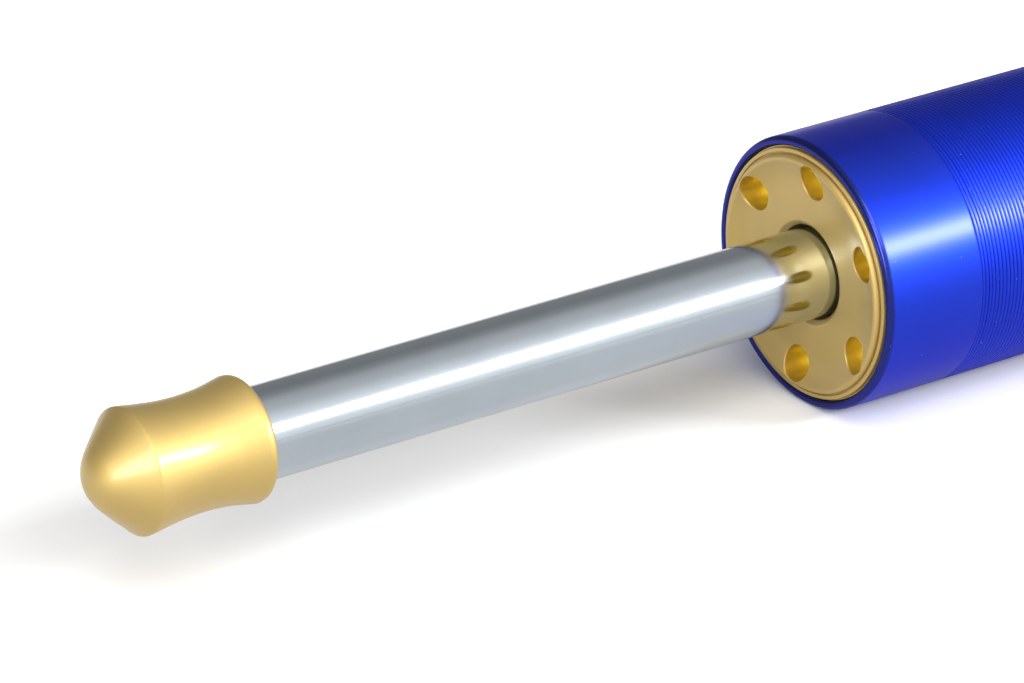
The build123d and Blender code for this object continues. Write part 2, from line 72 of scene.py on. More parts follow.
def linear(code):
    """The linear red, green and blue of an sRGB hex colour."""
    parts = [int(code[i : i + 2], 16) / 255 for i in (1, 3, 5)]
    return tuple(c / 12.92 if c <= 0.04045 else ((c + 0.055) / 1.055) ** 2.4 for c in parts)


def low(node):
    """The lowest corner of a CAD node."""
    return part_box(node)[0]


def high(node):
    """The highest corner of a CAD node."""
    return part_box(node)[1]


def length(label, text, default):
    """A length that the user can change, with its own unit."""
    return FloatProperty(name=label, description=text, default=default, unit="LENGTH", subtype="DISTANCE")


def colour(label, text, code):
    """A colour that the user can change, given as an sRGB hex value."""
    return FloatVectorProperty(
        name=label, description=text, default=linear(code), size=3, min=0, max=1, subtype="COLOR"
    )


class DamperSizes(bpy.types.PropertyGroup):
    barrel_radius: length("Barrel radius", "Outside radius of the barrel", high("barrel_tube")[2])
    barrel_half: length("Half barrel", "Half the length of the barrel", high("barrel_tube")[0])
    bore_radius: length("Bore", "Radius of the bore that the piston runs in", 15 * MM)
    mouth_radius: length("Mouth", "Radius of the counterbore at each end", 17.3 * MM)
    mouth_depth: length("Mouth depth", "Depth of the counterbore at each end", 20 * MM)
    rib_start: length("Rib start", "Distance from the barrel's edge to the first valley", 15.25 * MM)
    rib_lead: length("Lead-in ribs", "Length of the three finer ribs at each end", 1.6 * MM)
    rib_pitch: length("Rib pitch", "Distance from rib to rib", 0.609 * MM)
    rib_depth: length("Rib depth", "Depth of the valleys between the ribs", 0.24 * MM)
    rod_radius: length("Rod radius", "Radius of the chromed rod", high("rod_free_side")[2])
    bullet_radius: length("Bullet radius", "Radius of the bullet's rim and ridge", high("bullet_end_cap")[2])
    edge_radius: length("Edge", "Radius of the barrel's rounded rim", 0.8 * MM)
    bead_circle: length("Bead circle", "Radius of the circle that the cap's bead follows", 15.6 * MM)
    bead_radius: length("Bead", "Radius of the cap's bead across", 0.6 * MM)
    lip_rise: length("Lip rise", "Height of the cap's lip over the barrel's rim", 0.05 * MM)
    face_recess: length("Face recess", "Depth of the cap's face below the barrel's rim", 0.5 * MM)
    pin_circle: length("Pin circle", "Radius of the circle of the pin holes", 13.35 * MM)
    pin_radius: length("Pin hole", "Radius of a pin hole", 2.4 * MM)
    pin_floor: length("Pin floor", "Depth of a pin hole's floor below the barrel's rim", 4.5 * MM)
    spring_wire: length("Spring wire", "Side of the return spring's square wire", 0.35 * MM)
    needle_travel: length("Needle travel", "Stroke of the needle, by which its spring closes", 1 * MM)
    spring_turns: IntProperty(name="Spring turns", description="Turns of the return spring", default=3, min=1)
    segments: IntProperty(name="Segments", description="Faces round a turned piece", default=104, min=24)


class DamperFinishes(bpy.types.PropertyGroup):
    blue: colour("Blue", "Dyed oxide on the barrel", "#0438D8")
    gold: colour("Gold", "Dyed oxide on the caps, bullet and knob", "#D8BC73")
    # Painted shade: this darker navy is painted on the barrel's rim and end face
    blue_rim_painted_shade: colour("Blue, edge", "Dyed oxide on the barrel's rim, where it lies deeper", "#14268A")
    # Painted bounce light: this brighter, more saturated amber is painted on the pin holes' walls and floors
    gold_holes_painted_glow: colour("Gold, drilled", "Dyed oxide in the pin holes, where it lies deeper", "#FFE878")
    chrome: colour("Chrome", "Hard chrome on the rod", "#CCD5DD")
    aluminium: colour("Aluminium", "Machined aluminium", "#DADBDE")
    steel: colour("Steel", "Ground bearing steel", "#BDBFC4")
    zinc: colour("Zinc", "Zinc plating on the rod end and its nut", "#C9CCD0")
    spring: colour("Spring steel", "Drawn and tempered spring steel", "#8D8F94")
    bronze: colour("Bronze", "Sintered bronze", "#B98A4E")
    rubber: colour("Rubber", "Nitrile rubber of the seals", "#18191B")
    ptfe: colour("Filled PTFE", "Bronze-filled slippery band", "#6F5A45")


class DamperStudio(bpy.types.PropertyGroup):
    floor: colour("Floor", "Pale paper on the table", "#BEBEBE")
    key: FloatProperty(name="Key", description="Power of the softbox in front", default=11.6, unit="POWER")
    side: FloatProperty(name="Side", description="Power of the upright softbox", default=7.2, unit="POWER")
    top: FloatProperty(name="Top", description="Power of the high softbox", default=9.0, unit="POWER")
    gain: FloatProperty(
        name="Gain", description="How bright the camera sees the paper, next to its colour", default=1.74
    )
    # Painted light: the paper is painted this much brighter beyond the damper and past the bullet, which
    # washes out the shadows there
    far_painted_light: FloatProperty(name="Far gain", description="Share of Gain beyond the damper", default=1.5)
    left_painted_light: FloatProperty(name="Left gain", description="Share of Gain past the bullet", default=1.2)
    # Painted shade and light in reflections: the paper that reflections see is painted darker in front of the
    # rod and this much brighter behind it
    behind: FloatProperty(
        name="Behind", description="How bright reflections see the paper behind the rod", default=1.58
    )


def make_mesh(name, points, faces, body, replaced, finish, painted_light_mask=None):
    """Puts an array of points and an array of four-cornered faces into a mesh, and fits it to the frame.
    The last argument is 1 at the points that get a painted colour: painted shade on the barrel's rim and end
    face, and painted bounce light in a pin hole."""
    mesh = bpy.data.meshes.new(name)
    mesh.from_pydata(points, [], faces)
    if painted_light_mask is not None:
        mesh.attributes.new("painted_light_mask", "FLOAT", "POINT").data.foreach_set("value", painted_light_mask.astype(np.float32))
    mesh.polygons.foreach_set("use_smooth", np.ones(len(mesh.polygons), dtype=bool))
    mesh.materials.append(finish)
    mesh.set_sharp_from_angle(angle=CREASE)
    mesh.validate()
    piece = bpy.data.objects.new(name, mesh)
    bpy.context.scene.collection.objects.link(piece)
    if body:
        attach(piece, body)
    if replaced:
        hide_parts(replaced)
    return piece


def net(rows, columns, closed=True):
    """Four-cornered faces between neighbouring points of a grid that is stored row by row. A closed
    grid also joins each row's last point to its first."""
    i, j = np.meshgrid(np.arange(rows - 1), np.arange(columns if closed else columns - 1), indexing="ij")
    k = (j + 1) % columns
    near, far = i * columns, (i + 1) * columns
    return np.stack([near + j, near + k, far + k, far + j], axis=-1).reshape(-1, 4)


def face_outwards(piece, merge=0.0):
    """Merges points that lie closer than merge, and turns every face outwards."""
    work = bmesh.new()
    work.from_mesh(piece.data)
    if merge:
        bmesh.ops.remove_doubles(work, verts=work.verts, dist=merge)
    bmesh.ops.recalc_face_normals(work, faces=work.faces)
    work.to_mesh(piece.data)
    work.free()


def turned(outline, segments):
    """Points and faces of a closed outline of (x, radius) turned about the X axis.
    A point is (x, radius cos a, radius sin a), with a in equal steps round the circle. The outline
    closes on itself, and where it touches the axis its faces have a side of no length, which
    validate() takes out."""
    outline = np.asarray(outline, dtype=float)
    rows = len(outline)
    a = np.linspace(0, 2 * math.pi, segments, endpoint=False)
    points = np.empty((rows, segments, 3))
    points[..., 0] = outline[:, :1]
    points[..., 1] = outline[:, 1:] * np.cos(a)
    points[..., 2] = outline[:, 1:] * np.sin(a)
    area = outline[:, 0] * np.roll(outline[:, 1], -1) - np.roll(outline[:, 0], -1) * outline[:, 1]
    i, j = np.meshgrid(np.arange(rows), np.arange(segments), indexing="ij")
    k, m = (i + 1) % rows, (j + 1) % segments
    corners = [i * segments + j, k * segments + j, k * segments + m, i * segments + m]
    if area.sum() > 0:
        corners.reverse()
    faces = np.stack(corners, axis=-1).reshape(-1, 4)
    on_axis = (outline[:, 1] < 1e-9) & (np.roll(outline[:, 1], -1) < 1e-9)
    return points.reshape(-1, 3), faces[~np.repeat(on_axis, segments)]


def curve_through(knots, steps):
    """A smooth curve through the knots: in each span the point is the cubic whose slope at a knot
    is half the step from the knot before it to the knot after it."""
    k = np.asarray(knots, dtype=float)
    k = np.vstack([2 * k[0] - k[1], k, 2 * k[-1] - k[-2]])
    t = np.linspace(0, 1, steps, endpoint=False)[:, None]
    spans = [
        0.5
        * (
            2 * k[i]
            + (k[i + 1] - k[i - 1]) * t
            + (2 * k[i - 1] - 5 * k[i] + 4 * k[i + 1] - k[i + 2]) * t**2
            + (3 * k[i] - k[i - 1] - 3 * k[i + 1] + k[i + 2]) * t**3
        )
        for i in range(1, len(k) - 2)
    ]
    return np.vstack(spans + [k[-2:-1]])


def add(tree, kind, inputs=None, **settings):
    """Adds a node, with settings for its own values and inputs that are plain values or other
    nodes' outputs."""
    node = tree.nodes.new(kind)
    for key, value in settings.items():
        setattr(node, key, value)
    for key, value in (inputs or {}).items():
        if isinstance(value, bpy.types.NodeSocket):
            tree.links.new(value, node.inputs[key])
        else:
            node.inputs[key].default_value = value
    return node


def new_finish(name, slot):
    """An empty material with its output, named for the real material and its process."""
    finish = bpy.data.materials.new(name)
    finish.use_nodes = True
    finish.node_tree.nodes.clear()
    finish["slot"] = slot
    return finish, finish.node_tree


def turned_metal(
    name, slot, tint, roughness, pitch, coat=0.0, coat_roughness=0.1, relief=1.0, spread=0.06, deep=None,
    edge=(1, 1, 1), chips=0.0,
):
    """A turned or ground metal. Its tool lines run round the X axis: they are noise along the
    distance x + radius, so they show as rings on a cylinder and on a face alike. Fine specks and a
    slow cloud vary the roughness, as handling and oil do. Where the mesh's point mask is 1, the
    colour becomes deep, as painted shade on the barrel's rim and painted bounce light in the pin holes,
    and the skin is smoother. edge tints the grazing reflections, and chips is how pale the small nicks in the
    skin go."""
    # Real tool lines are 0.05 to 0.1 mm apart and real specks 0.05 mm across. Both are drawn two to
    # seven times as coarse, so that they show at this picture's 0.15 mm a pixel. Clouds are a finger
    # mark's 9 mm, and nicks are 0.6 mm, as in the photograph.
    speck_size, cloud_size, nick_size = 0.35 * MM, 9 * MM, 0.6 * MM
    finish, tree = new_finish(name, slot)
    place = add(tree, "ShaderNodeTexCoord").outputs["Object"]
    split = add(tree, "ShaderNodeSeparateXYZ", {0: place}).outputs
    flat = add(tree, "ShaderNodeCombineXYZ", {1: split[1], 2: split[2]}).outputs[0]
    radius = add(tree, "ShaderNodeVectorMath", {0: flat}, operation="LENGTH").outputs["Value"]
    along = add(tree, "ShaderNodeMath", {0: split[0], 1: radius}, operation="ADD").outputs[0]
    lines = add(
        tree, "ShaderNodeTexNoise", {"W": along, "Scale": 1 / pitch, "Detail": 3.0, "Roughness": 0.6},
        noise_dimensions="1D",
    ).outputs[0]
    clouds = {"Vector": place, "Scale": 1 / cloud_size, "Detail": 3.0}
    cloud = add(tree, "ShaderNodeTexNoise", clouds).outputs[0]
    specks = {"Vector": place, "Scale": 1 / speck_size, "Detail": 2.0}
    speck = add(tree, "ShaderNodeTexNoise", specks).outputs[0]
    speck = add(tree, "ShaderNodeMapRange", {0: speck, 1: 0.70, 2: 0.78, 3: 0.0, 4: 1.0}).outputs[0]
    smooth, coarse = roughness - spread / 2, roughness + spread / 2
    rough = add(tree, "ShaderNodeMapRange", {0: lines, 1: 0.3, 2: 0.7, 3: smooth, 4: coarse}).outputs[0]
    rough = add(tree, "ShaderNodeMath", {0: cloud, 1: spread, 2: rough}, operation="MULTIPLY_ADD").outputs[0]
    rough = add(tree, "ShaderNodeMath", {0: speck, 1: 0.12, 2: rough}, operation="MULTIPLY_ADD").outputs[0]
    bright = add(tree, "ShaderNodeMapRange", {0: cloud, 1: 0.3, 2: 0.7, 3: 0.94, 4: 1.0}).outputs[0]
    base = tuple(tint)
    # Painted light: where the point mask is 1 the colour is deep instead, painted shade on the barrel's rim
    # and painted bounce light in the pin holes
    if deep:
        painted_light_mask = add(tree, "ShaderNodeAttribute", attribute_name="painted_light_mask").outputs["Fac"]
        base = add(tree, "ShaderNodeMix", {0: painted_light_mask, 4: base, 5: tuple(deep)}, data_type="VECTOR").outputs[1]
        smoother = {0: painted_light_mask, 1: -0.2, 2: rough}
        rough = add(tree, "ShaderNodeMath", smoother, operation="MULTIPLY_ADD").outputs[0]
    if chips:
        nicks = {"Vector": place, "Scale": 1 / nick_size, "Detail": 1.0}
        nick = add(tree, "ShaderNodeTexNoise", nicks).outputs[0]
        nick = add(tree, "ShaderNodeMapRange", {0: nick, 1: 0.795, 2: 0.815, 3: 0.0, 4: chips}).outputs[0]
        bared = (0.55, 0.65, 0.9)
        base = add(tree, "ShaderNodeMix", {0: nick, 4: base, 5: bared}, data_type="VECTOR").outputs[1]
    shade = add(tree, "ShaderNodeVectorMath", {0: base, 3: bright}, operation="SCALE").outputs[0]
    bump = add(
        tree, "ShaderNodeBump", {"Height": lines, "Strength": 0.25 * relief, "Distance": pitch * 0.05}
    ).outputs[0]
    shader = add(
        tree, "ShaderNodeBsdfPrincipled",
        {"Base Color": shade, "Metallic": 1.0, "Roughness": rough, "Normal": bump,
         "Specular Tint": (*edge, 1), "Coat Weight": coat, "Coat Roughness": coat_roughness},
    )
    add(tree, "ShaderNodeOutputMaterial", {"Surface": shader.outputs[0]})
    return finish


def moulded(name, slot, tint, roughness, grain):
    """A moulded rubber or plastic: its fine grain is a noise of the mould's texture, and its
    roughness wanders a little where it has been wiped. A real mould's grain is about 0.05 mm, and it
    is drawn two to four times as coarse, so that it shows. A wiped patch is about 4 mm."""
    finish, tree = new_finish(name, slot)
    place = add(tree, "ShaderNodeTexCoord").outputs["Object"]
    noise = add(tree, "ShaderNodeTexNoise", {"Vector": place, "Scale": 1 / grain, "Detail": 3.0}).outputs[0]
    patches = {"Vector": place, "Scale": 1 / (4 * MM), "Detail": 2.0}
    cloud = add(tree, "ShaderNodeTexNoise", patches).outputs[0]
    wiped, dull = roughness - 0.08, roughness + 0.08
    rough = add(tree, "ShaderNodeMapRange", {0: cloud, 1: 0.3, 2: 0.7, 3: wiped, 4: dull}).outputs[0]
    bright = add(tree, "ShaderNodeMapRange", {0: noise, 1: 0.3, 2: 0.7, 3: 0.8, 4: 1.1}).outputs[0]
    shade = add(tree, "ShaderNodeVectorMath", {0: tuple(tint), 3: bright}, operation="SCALE").outputs[0]
    bump = add(tree, "ShaderNodeBump", {"Height": noise, "Strength": 0.4, "Distance": grain * 0.1}).outputs[0]
    shader = add(tree, "ShaderNodeBsdfPrincipled", {"Base Color": shade, "Roughness": rough, "Normal": bump})
    add(tree, "ShaderNodeOutputMaterial", {"Surface": shader.outputs[0]})
    return finish


def blue_anodised(f):
    """Anodised aluminium, turned and dyed deep blue: the dyed oxide gives the metal its colour, and
    the oxide's own clear skin gives a paler, slightly blurred highlight on top."""
    # deep is a darker navy painted on the rim and end face as painted shade
    return turned_metal(
        "Blue anodised aluminium, turned", "blue_anodised_aluminium", f.blue, 0.42, 0.2 * MM,
        coat=0.6, coat_roughness=0.26, relief=0.3, deep=f.blue_rim_painted_shade, edge=(0.02, 0.08, 0.7),
        chips=0.5,
    )


def gold_anodised(f):
    """Anodised aluminium, turned and dyed gold, with a brighter, more saturated amber painted in the pin
    holes as painted bounce light.
    """
    return turned_metal(
        # deep is the brighter amber painted in the pin holes as painted bounce light
        "Gold anodised aluminium, turned", "gold_anodised_aluminium", f.gold, 0.57, 0.15 * MM,
        coat=0.8, coat_roughness=0.26, relief=0.5, deep=f.gold_holes_painted_glow,
    )


def hard_chrome(f):
    """Hard chrome, ground and polished: a blurred mirror with very fine grinding lines round it."""
    return turned_metal(
        "Hard chrome, ground", "hard_chrome", f.chrome, 0.13, 0.12 * MM, relief=0.3, spread=0.04
    )


def machined_aluminium(f):
    """Bare aluminium, turned: pale, with plain tool lines."""
    return turned_metal(
        "Machined aluminium, turned", "machined_aluminium", f.aluminium, 0.3, 0.2 * MM, relief=1.5
    )


def bearing_steel(f):
    """Bearing steel, hardened and ground: the smoothest and darkest of the bare metals."""
    return turned_metal(
        "Bearing steel, ground", "bearing_steel", f.steel, 0.12, 0.1 * MM, relief=0.4, spread=0.04
    )


def zinc_plated(f):
    """Zinc-plated steel: a satin, slightly bluish skin with a cloudy passivation."""
    return turned_metal("Steel, zinc plated", "zinc_plated_steel", f.zinc, 0.34, 0.3 * MM, spread=0.1)


def spring_steel(f):
    """Spring steel, tempered: grey, with a thin oil film."""
    return turned_metal("Spring steel, tempered", "spring_steel", f.spring, 0.3, 0.15 * MM)


def sintered_bronze(f):
    """Sintered bronze: warm and matt, because its pores hold oil."""
    return turned_metal("Bronze, sintered", "bronze", f.bronze, 0.42, 0.1 * MM, spread=0.12)


def seal_rubber(f):
    """Nitrile rubber, moulded: near black and soft to the light."""
    return moulded("Nitrile rubber, moulded", "seal_rubber", f.rubber, 0.55, 0.12 * MM)


def filled_ptfe(f):
    """Filled PTFE, skived: dull brown, with a faint waxy shine."""
    return moulded("Filled PTFE, skived", "ptfe", f.ptfe, 0.5, 0.2 * MM)


MAKERS = (
    blue_anodised, gold_anodised, hard_chrome, machined_aluminium, bearing_steel, zinc_plated,
    spring_steel, sintered_bronze, seal_rubber, filled_ptfe,
)
finishes = {}


def finish_for(slot):
    """The finish of a material slot of the record, made the first time that it is asked for."""
    if not finishes:
        for maker in MAKERS:
            made = maker(bpy.context.scene.damper_finishes)
            finishes[made["slot"]] = made
    return finishes[slot]


def dress(*nodes):
    """Gives CAD nodes the finish of their own slot in the record."""
    slots = {part["node"]: part["material_slot"] for part in frame["record"]["subparts"]}
    for node in nodes:
        for place in frame["nodes"][node].material_slots:
            place.material = finish_for(slots[node])


class DAMPER_OT_stage(bpy.types.Operator):
    """Lays the pale paper floor and sets the softboxes and the camera"""

    bl_idname = "damper.stage"
    bl_label = "Studio"

    def execute(self, context):
        studio = context.scene.damper_studio
        sizes = context.scene.damper_sizes
        scene = context.scene

        # Floor: a square of paper under the barrel, 12 m across. Its height is 0.02 (r - 4.5)^2 beyond
        # 4.5 m from the middle, and 0 within.
        half, flat = 6.0, 4.5
        across = np.linspace(-half, half, 25)
        x, y = np.meshgrid(across, across, indexing="ij")
        z = -sizes.barrel_radius + 0.02 * np.clip(np.hypot(x, y) - flat, 0, None) ** 2
        faces = net(len(across), len(across), closed=False)[:, ::-1]
        # Matt white paper, uncoated, without gloss. The camera sees it as an over-exposed photograph does,
        # white but for the shadow, and it throws no more light for that. Painted light: the camera sees the
        # paper painted brighter from 26 to 50 mm behind the rod onwards and past the bullet, which washes out
        # the shadows there, and reflections see it painted darker in front of the rod, a painted shade, and
        # brighter behind.
        paper, tree = new_finish("Matt white paper", "floor")
        seen = add(tree, "ShaderNodeLightPath").outputs["Is Camera Ray"]
        place = add(tree, "ShaderNodeTexCoord").outputs["Object"]
        split = add(tree, "ShaderNodeSeparateXYZ", {0: place}).outputs
        # Painted shade and light: reflections see the paper darker in front of the rod and brighter behind
        paper_painted_for_reflections = add(
            tree, "ShaderNodeMapRange", {0: split[1], 1: -10 * MM, 2: 40 * MM, 3: 1.0, 4: studio.behind}
        ).outputs[0]
        # Painted light: the camera sees the paper brighter behind the rod and past the bullet, so those
        # shadows fade
        camera_gain_painted = add(
            tree, "ShaderNodeMapRange",
            {0: split[1], 1: 26 * MM, 2: 50 * MM, 3: studio.gain, 4: studio.far_painted_light * studio.gain},
        ).outputs[0]
        left = add(
            tree, "ShaderNodeMapRange", {0: split[0], 1: -170 * MM, 2: -205 * MM, 3: 1.0, 4: studio.left_painted_light}
        ).outputs[0]
        camera_gain_painted = add(tree, "ShaderNodeMath", {0: camera_gain_painted, 1: left}, operation="MULTIPLY").outputs[0]
        gain = add(tree, "ShaderNodeMix", {0: seen, 2: paper_painted_for_reflections, 3: camera_gain_painted}).outputs[0]
        white = tuple(studio.floor)
        shade = add(tree, "ShaderNodeVectorMath", {0: white, 3: gain}, operation="SCALE").outputs[0]
        matt = add(tree, "ShaderNodeBsdfDiffuse", {"Color": shade}).outputs[0]
        add(tree, "ShaderNodeOutputMaterial", {"Surface": matt})
        floor = make_mesh("floor", np.stack([x, y, z], axis=-1).reshape(-1, 3), faces, None, None, paper)

        # World: bright in front and low, dimmer overhead, and a dark wall behind. The ramp runs over the
        # cosine to a direction 25 degrees above the front.
        world = bpy.data.worlds.new("Studio")
        world.use_nodes = True
        tree = world.node_tree
        tree.nodes.clear()
        toward = add(tree, "ShaderNodeTexCoord").outputs["Generated"]
        climb = math.radians(25)
        front = (0, -math.cos(climb), math.sin(climb))
        cosine = add(tree, "ShaderNodeVectorMath", {0: toward, 1: front}, operation="DOT_PRODUCT")
        cosine = cosine.outputs["Value"]
        facing = add(tree, "ShaderNodeMath", {0: cosine, 1: 0.5, 2: 0.5}, operation="MULTIPLY_ADD").outputs[0]
        ramp = add(tree, "ShaderNodeValToRGB", {0: facing})
        stops = ramp.color_ramp.elements
        stops[0].position, stops[0].color = 0.0, (0.27, 0.27, 0.28, 1)
        stops[1].position, stops[1].color = 1.0, (1.0, 1.0, 1.0, 1)
        greys = (
            (0.38, 0.25), (0.5, 0.33), (0.6, 0.48), (0.68, 0.56), (0.76, 0.62), (0.83, 0.78), (0.89, 1.0),
        )
        for place, grey in greys:
            stops.new(place).color = (grey, grey, grey, 1)
        seen = add(tree, "ShaderNodeLightPath").outputs["Is Camera Ray"]
        both = {"Factor": seen, "A": ramp.outputs[0], "B": (1, 1, 1, 1)}
        mixed = add(tree, "ShaderNodeMix", both, data_type="RGBA").outputs[2]
        sky = add(tree, "ShaderNodeBackground", {"Color": mixed}).outputs[0]
        add(tree, "ShaderNodeOutputWorld", {"Surface": sky})
        scene.world = world

        # Softboxes: one in front to the right with a dimmer edge, an upright one on the left, and a
        # high one over the front
        for name, power, spot, aim, size_x, size_y in (
            ("key_softbox", studio.key, (0.795, -0.95, 0.56), (-0.05, 0, 0), 0.4, 0.2),
            ("key_edge_softbox", 0.2 * studio.key, (0.52, -0.95, 0.56), (-0.05, 0, 0), 0.15, 0.2),
            ("side_softbox", studio.side, (-1.23, -0.5, 0.4), (-0.17, 0, 0), 0.22, 0.6),
            ("top_softbox", studio.top, (-0.5, -0.8, 0.98), (-0.12, 0, 0), 0.9, 0.8),
        ):
            lamp = bpy.data.lights.new(name, "AREA")
            lamp.shape, lamp.size, lamp.size_y, lamp.energy = "RECTANGLE", size_x, size_y, power
            box = bpy.data.objects.new(name, lamp)
            scene.collection.objects.link(box)
            away = np.array(spot) - np.array(aim)
            away /= np.linalg.norm(away)
            side = np.cross((0, 0, 1), away)
            side /= np.linalg.norm(side)
            over = np.cross(away, side)
            box.matrix_world = Matrix(
                [[side[r], over[r], away[r], spot[r]] for r in range(3)] + [[0, 0, 0, 1]]
            )

        # Camera: fitted to the rod's edges, the barrel's rim and both outlines in the photograph. Its
        # place is counted from a plane 0.4 mm behind the barrel's front edge.
        turn, rise = math.radians(-34.869493), math.radians(24.687953)
        right = np.array([math.cos(turn), math.sin(turn), 0])
        back = np.array([math.sin(turn) * math.cos(rise), -math.cos(turn) * math.cos(rise), math.sin(rise)])
        over = np.cross(back, right)
        spot = (-38.470158 * right - 8.931723 * over + 760.314746 * back) * MM
        spot[0] -= sizes.barrel_half - 0.4 * MM
        data = bpy.data.cameras.new("camera")
        data.lens, data.sensor_width, data.sensor_fit = 204.085, 36.0, "HORIZONTAL"
        data.clip_start, data.clip_end = 0.05, 60.0
        camera = bpy.data.objects.new("camera", data)
        scene.collection.objects.link(camera)
        camera.matrix_world = Matrix(
            [[right[r], over[r], back[r], spot[r]] for r in range(3)] + [[0, 0, 0, 1]]
        )
        scene.camera = camera
        scene.view_settings.view_transform = "Standard"
        return {"FINISHED"}


class DAMPER_OT_barrel(bpy.types.Operator):
    """Turns the blue barrel with its ribbed clamp band"""

    bl_idname = "damper.barrel"
    bl_label = "Barrel"

    def execute(self, context):
        s = context.scene.damper_sizes
        half, radius = s.barrel_half, s.barrel_radius
        # Valleys from end to end: three finer ribs, the even ones, and three finer ribs again
        start = -half + s.rib_start
        lead = np.array([0, 0.33, 0.69]) * s.rib_lead
        even = 2 * round(-(start + s.rib_lead) / s.rib_pitch)
        evenly = np.linspace(start + s.rib_lead, -start - s.rib_lead, even + 1)
        valleys = np.concatenate([start + lead, evenly, -(start + lead)[::-1]])
        # A rib is a flat land between two grooves: its places across are parts of its pitch, and its
        # heights parts of its depth
        across = np.array([0, 0.2, 0.3, 0.7, 0.8])
        height = np.array([-1, -0.2, 0, 0, -0.2])
        x = valleys[:-1, None] + np.diff(valleys)[:, None] * across
        r = radius + s.rib_depth * np.broadcast_to(height, x.shape)
        ribs = np.stack([x.ravel(), r.ravel()], axis=-1)
        ribs = np.vstack([ribs, [valleys[-1], radius - s.rib_depth]])
        # The rim: a quarter circle from the end face to the side
        edge = s.edge_radius
        a = np.linspace(0, math.pi / 2, 9)
        corner = np.stack([-half + edge * (1 - np.sin(a)), radius - edge * (1 - np.cos(a))], axis=-1)[::-1]
        # The smooth band has points close to its ends, so that its shading stays level
        band = [
            [-half + edge + 0.15 * MM, radius], [start - 0.4 * MM, radius], [start - 0.16 * MM, radius],
            [start - 0.05 * MM, radius - 0.05 * MM],
        ]
        chamfer = 0.2 * MM
        mouth = [
            [-half + s.mouth_depth, s.bore_radius], [-half + s.mouth_depth, s.mouth_radius],
            [-half + chamfer, s.mouth_radius], [-half, s.mouth_radius + chamfer],
        ]
        front = np.vstack([mouth, corner, band])
        outline = np.vstack([front, ribs, (front * (-1, 1))[::-1]])
        points, faces = turned(outline, s.segments)
        # Painted shade: this mask gives the rim, the end face and the mouth's edge the darker navy
        rim = np.clip((np.abs(outline[:, 0]) - half + edge) / (0.4 * edge), 0, 1)
        blue = finish_for("blue_anodised_aluminium")
        make_mesh("barrel", points, faces, "barrel", "barrel_tube", blue, np.repeat(rim, s.segments))
        return {"FINISHED"}


class DAMPER_OT_bullet(bpy.types.Operator):
    """Turns the gold bullet cap on the rod's free end"""

    bl_idname = "damper.bullet"
    bl_label = "Bullet cap"

    def execute(self, context):
        s = context.scene.damper_sizes
        rear = high("bullet_end_cap")[0]
        # Distances in front of the rear face and radii: a rounded rim, a waist, a ridge and a blunt nose
        rim = [(0, 7.4), (0.06, 7.72), (0.28, 8.0), (0.62, 8.15), (1.05, 8.19)]
        waist = [
            (1.05, 8.19), (3, 7.81), (5, 7.51), (8, 7.35), (11, 7.46), (14, 7.82), (16, 8.13), (16.62, 8.2),
        ]
        nose = [
            (16.62, 8.2), (16.8, 8.17), (16.98, 8.05), (18, 7.08), (19, 6.12), (20, 5.14), (21, 4.1),
            (21.55, 3.42), (22.05, 2.6), (22.4, 1.75), (22.62, 0.88), (22.7, 0),
        ]
        shell = np.vstack([curve_through(rim, 5)[:-1], curve_through(waist, 6)[:-1], curve_through(nose, 6)])
        shell[:, 1] = np.minimum(shell[:, 1] * MM, s.bullet_radius)
        shell[:, 0] = rear - shell[:, 0] * MM
        # The pocket for the rod, with its chamfer
        pocket, floor, chamfer = s.rod_radius + 0.05 * MM, rear - 3 * MM, 0.25 * MM
        inside = [[floor, 0], [floor, pocket], [rear - chamfer, pocket], [rear, pocket + chamfer]]
        shell[-1] = (low("bullet_end_cap")[0], 0)
        points, faces = turned(np.vstack([inside, shell]), s.segments)
        make_mesh("bullet", points, faces, "rod", "bullet_end_cap", finish_for("gold_anodised_aluminium"))
        return {"FINISHED"}


class DAMPER_OT_rod(bpy.types.Operator):
    """Dresses both halves of the chromed rod"""

    bl_idname = "damper.rod"
    bl_label = "Rod"

    def execute(self, context):
        s = context.scene.damper_sizes
        chrome = finish_for("hard_chrome")
        front, back = low("rod_free_side")[0], high("rod_free_side")[0]
        shoulder = high("bullet_end_cap")[0] - 3 * MM
        # From the tip: the stud in the bullet, the rod, and the socket for the other half's spigot
        stud, socket, floor = 4 * MM, 4.4 * MM, back - 3 * MM
        outline = [
            (front, 0), (front, stud), (shoulder, stud), (shoulder, s.rod_radius), (back, s.rod_radius),
            (back, socket), (floor, socket), (floor, 0),
        ]
        points, faces = turned(outline, s.segments)
        make_mesh("rod_front", points, faces, "rod", "rod_free_side", chrome)
        dress("rod_eye_side")
        return {"FINISHED"}


